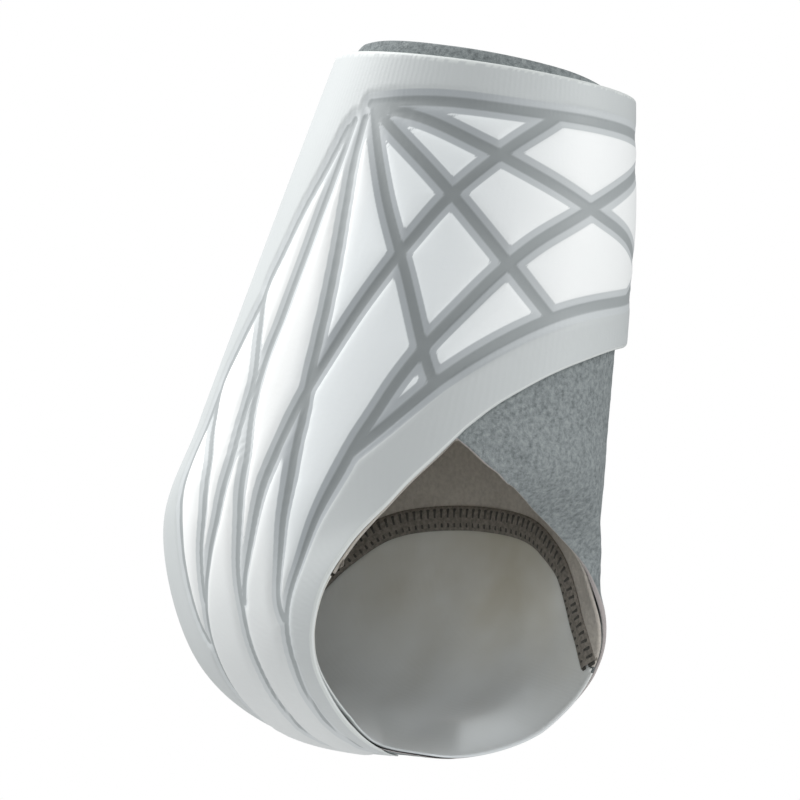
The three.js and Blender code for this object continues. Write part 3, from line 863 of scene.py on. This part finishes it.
# Painted reflection: lower in the cup the colour is mixed towards a pale cool grey. It stands in for the pale
# room seen in the silky cloth.
painted_reflection_low = add_node(
    stretch_cloth, "ShaderNodeMapRange", [("Value", heights.outputs["Z"])],
    interpolation_type="SMOOTHSTEP", in_From_Min=-0.085, in_From_Max=-0.035, in_To_Min=0.8, in_To_Max=0,
)
cup = add_node(
    stretch_cloth, "ShaderNodeMix", [(0, painted_reflection_low.outputs[0]), (6, tone.outputs["Color"])],
    data_type="RGBA", in_7=linear("#D8DEE2"),
)
bump = add_node(
    stretch_cloth, "ShaderNodeBump", [("Height", wales.outputs["Fac"])], in_Strength=0.1, in_Distance=0.0001,
)
set_surface(
    stretch_cloth, [("Base Color", cup.outputs[2]), ("Normal", bump.outputs["Normal"])],
    in_Roughness=0.75, in_IOR=1.5, in_Sheen_Weight=0.2,
)

heel_lining.data.materials.append(stretch_cloth)
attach(heel_lining, "root")
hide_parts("heel_lining")

# Seam of the linings
# The two linings are joined by an overlock seam, pressed flat on the inside: a narrow band of their
# whipped edges, held by dark thread in long stitches above and short ones below.
SEAM_WIDTH = 0.0065
SEAM_WALL = 0.0008
SEAM_DEPTH = LINING_DEPTH + LINING_WALL + LAYER_GAP
STITCH_PITCH = 0.0023
STITCH_LENGTH = 0.0026
SHORT_STITCH = 0.0014
THREAD_WIDTH = 0.0011
THREAD_FLATNESS = 0.55
THREAD_BEVEL = 0.2
BAND_SPACING = 0.0012
BAND_ROWS = 8
BAND_SWELL = 0.8
BAND_WALL = 0.0003
FOOT_EDGE_MARGIN = 0.004


def seam_frame(line):
    """Points on the inside of the linings along the seam, with the directions along, across and out."""
    turn, at = line.T
    points = form_point(turn, at)
    out = form_normal(turn, at)
    along = unit(np.gradient(points, axis=0))
    across = unit(np.cross(out, along))
    depth = SEAM_DEPTH * (1 - pressed_flat(np.where(turn > 180, turn - 360, turn), at))
    return points - out * depth[:, None], along, across, out


def within_cloth(line):
    """The part of a line that lies on the linings, and not beyond their edge around the foot."""
    turn = np.where(line[:, 0] > 180, line[:, 0] - 360, line[:, 0])
    return line[line[:, 1] < felt_bottom(turn) - FOOT_EDGE_MARGIN]


band_line = within_cloth(curve_through(SEAM_PATH[:, 0], SEAM_PATH[:, 1], BAND_SPACING))
middle, _, across, out = seam_frame(band_line)
band = add_grid("lining_seam_band", len(band_line) - 1, BAND_ROWS)
flat = vertices_of(band)
column = np.rint((flat[:, 0] + 1) / 2 * (len(band_line) - 1)).astype(int)
side = flat[:, 1]
# The band is thin at its two edges and a little raised in the middle
lift = SEAM_WALL * (1 - side ** 2) ** 0.5 * BAND_SWELL
place_vertices(
    band,
    middle[column] + across[column] * (side * SEAM_WIDTH / 2)[:, None] - out[column] * lift[:, None],
)
close_seams(band)
give_wall(band, BAND_WALL, 0)

# The band is the whipped edge of the two cloths: grey-brown and matt, with a fine uneven nap
whipped_edge = new_material("whipped_cloth_edge")
place = add_node(whipped_edge, "ShaderNodeTexCoord")
nap = add_node(
    whipped_edge, "ShaderNodeTexNoise", [("Vector", place.outputs["Object"])], in_Scale=1100, in_Detail=3,
)
tone = add_node(whipped_edge, "ShaderNodeValToRGB", [("Fac", nap.outputs["Fac"])])
set_ramp(tone, [(0.35, linear("#706B64")), (0.7, linear("#908A81"))])
bump = add_node(
    whipped_edge, "ShaderNodeBump", [("Height", nap.outputs["Fac"])], in_Strength=0.8, in_Distance=0.0003,
)
set_surface(
    whipped_edge, [("Base Color", tone.outputs["Color"]), ("Normal", bump.outputs["Normal"])],
    in_Roughness=0.9, in_IOR=1.5,
)
band.data.materials.append(whipped_edge)
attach(band, "root")
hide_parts("lining_seam")

# Spun polyester thread: dark and matt, with a twist finer than the render shows
overlock_thread = new_material("overlock_polyester_thread")
place = add_node(overlock_thread, "ShaderNodeTexCoord")
twist = add_node(
    overlock_thread, "ShaderNodeTexNoise", [("Vector", place.outputs["Object"])], in_Scale=1400, in_Detail=2,
)
tone = add_node(overlock_thread, "ShaderNodeValToRGB", [("Fac", twist.outputs["Fac"])])
set_ramp(tone, [(0.3, linear("#3A3935")), (0.7, linear("#55534D"))])
set_surface(overlock_thread, [("Base Color", tone.outputs["Color"])], in_Roughness=0.85, in_IOR=1.5)


def stitch_row(name, length, off_middle, lift):
    """A row of stitches along the seam. One stitch is modelled and copied to each place."""
    bpy.ops.object.select_all(action="DESELECT")
    bpy.ops.mesh.primitive_cylinder_add(
        vertices=6, radius=THREAD_WIDTH / 2, depth=length, rotation=(math.pi / 2, 0, 0),
    )
    stitch = bpy.context.object
    bpy.ops.object.transform_apply(rotation=True)
    bpy.ops.object.mode_set(mode="EDIT")
    bpy.ops.mesh.select_all(action="SELECT")
    bpy.ops.transform.resize(value=(1, 1, THREAD_FLATNESS))
    bpy.ops.mesh.bevel(offset=THREAD_WIDTH * THREAD_BEVEL, segments=1)
    bpy.ops.object.mode_set(mode="OBJECT")
    bpy.ops.object.shade_smooth()
    places = within_cloth(curve_through(SEAM_PATH[:, 0], SEAM_PATH[:, 1], STITCH_PITCH))
    middle, along, across, out = seam_frame(places)
    centres = middle + across * off_middle - out * lift
    copies = []
    for centre, x, y, z in zip(centres, along, across, out):
        copy = bpy.data.objects.new(name, stitch.data.copy())
        copy.data.transform(Matrix((
            (x[0], y[0], z[0], centre[0]), (x[1], y[1], z[1], centre[1]), (x[2], y[2], z[2], centre[2]),
            (0, 0, 0, 1),
        )))
        bpy.context.collection.objects.link(copy)
        copies.append(copy)
    bpy.data.objects.remove(stitch)
    bpy.ops.object.select_all(action="DESELECT")
    for copy in copies:
        copy.select_set(True)
    bpy.context.view_layer.objects.active = copies[0]
    bpy.ops.object.join()
    row = bpy.context.object
    row.name = name
    row.data.materials.append(overlock_thread)
    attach(row, "root")


stitch_row("seam_long_stitches", STITCH_LENGTH, off_middle=0.0013, lift=0.0006)
stitch_row("seam_short_stitches", SHORT_STITCH, off_middle=-0.0018, lift=0.0005)

# Floor, lights and camera
# The floor is white paper well below the brace, given as a light grey so that it throws up less light.
bpy.ops.object.select_all(action="DESELECT")
bpy.ops.mesh.primitive_circle_add(vertices=96, radius=1.0, fill_type="NGON", location=(0, 0, -0.35))
floor = bpy.context.object
floor.name = "floor"
paper = new_material("white_paper_floor")
set_surface(paper, (), in_Base_Color=linear("#D8D8D8"), in_Roughness=0.9)
floor.data.materials.append(paper)

# The camera stands at the height of the ankle, to the front of the outer side, and leans by 10 degrees
VIEW_TURN = math.radians(50)
ROLL = math.radians(10)
DISTANCE = 0.8
SHIFT_LEFT = 0.00683
SHIFT_UP = 0.00165
back = Vector((math.sin(VIEW_TURN), -math.cos(VIEW_TURN), 0))
level = Vector((math.cos(VIEW_TURN), math.sin(VIEW_TURN), 0))
right = level * math.cos(ROLL) + Vector((0, 0, 1)) * math.sin(ROLL)
up = -level * math.sin(ROLL) + Vector((0, 0, 1)) * math.cos(ROLL)
bpy.ops.object.camera_add()
camera = bpy.context.object
camera.data.lens = 141.84
camera.data.sensor_width = 36
camera.matrix_world = Matrix.Translation(
    back * DISTANCE - right * SHIFT_LEFT + up * SHIFT_UP
) @ Matrix((
    (right.x, up.x, back.x, 0), (right.y, up.y, back.y, 0), (right.z, up.z, back.z, 0), (0, 0, 0, 1),
))
bpy.context.scene.camera = camera


def add_light(name, direction, distance, size, power):
    """A soft square lamp. direction is to the camera's right, up, and back towards the camera."""
    place = (right * direction[0] + up * direction[1] + back * direction[2]).normalized() * distance
    bpy.ops.object.light_add(type="AREA", location=place)
    lamp = bpy.context.object
    lamp.name = name
    lamp.data.size = size
    lamp.data.energy = power
    lamp.rotation_mode = "QUATERNION"
    lamp.rotation_quaternion = place.to_track_quat("Z", "Y")


add_light("left_window", (-0.80, 0.85, -0.45), 1.1, 0.7, 15)
add_light("right_softbox", (0.95, 0.45, 0.45), 1.3, 0.6, 7.3)
add_light("front_softbox", (0.0, 0.15, 1.0), 1.6, 0.8, 5)

# The camera sees a white background, and the brace is lit by a dimmer, faintly cool room
world = bpy.data.worlds.new("pale_room")
bpy.context.scene.world = world
world.use_nodes = True
tree = world.node_tree
tree.nodes.clear()
seen = tree.nodes.new("ShaderNodeLightPath")
white = tree.nodes.new("ShaderNodeBackground")
white.inputs["Color"].default_value = (1, 1, 1, 1)
white.inputs["Strength"].default_value = 1.0
room = tree.nodes.new("ShaderNodeBackground")
room.inputs["Color"].default_value = (0.95, 0.98, 1, 1)
room.inputs["Strength"].default_value = 0.37
blend = tree.nodes.new("ShaderNodeMixShader")
world_output = tree.nodes.new("ShaderNodeOutputWorld")
tree.links.new(seen.outputs["Is Camera Ray"], blend.inputs[0])
tree.links.new(room.outputs[0], blend.inputs[1])
tree.links.new(white.outputs[0], blend.inputs[2])
tree.links.new(blend.outputs[0], world_output.inputs["Surface"])
bpy.context.scene.view_settings.view_transform = "Standard"
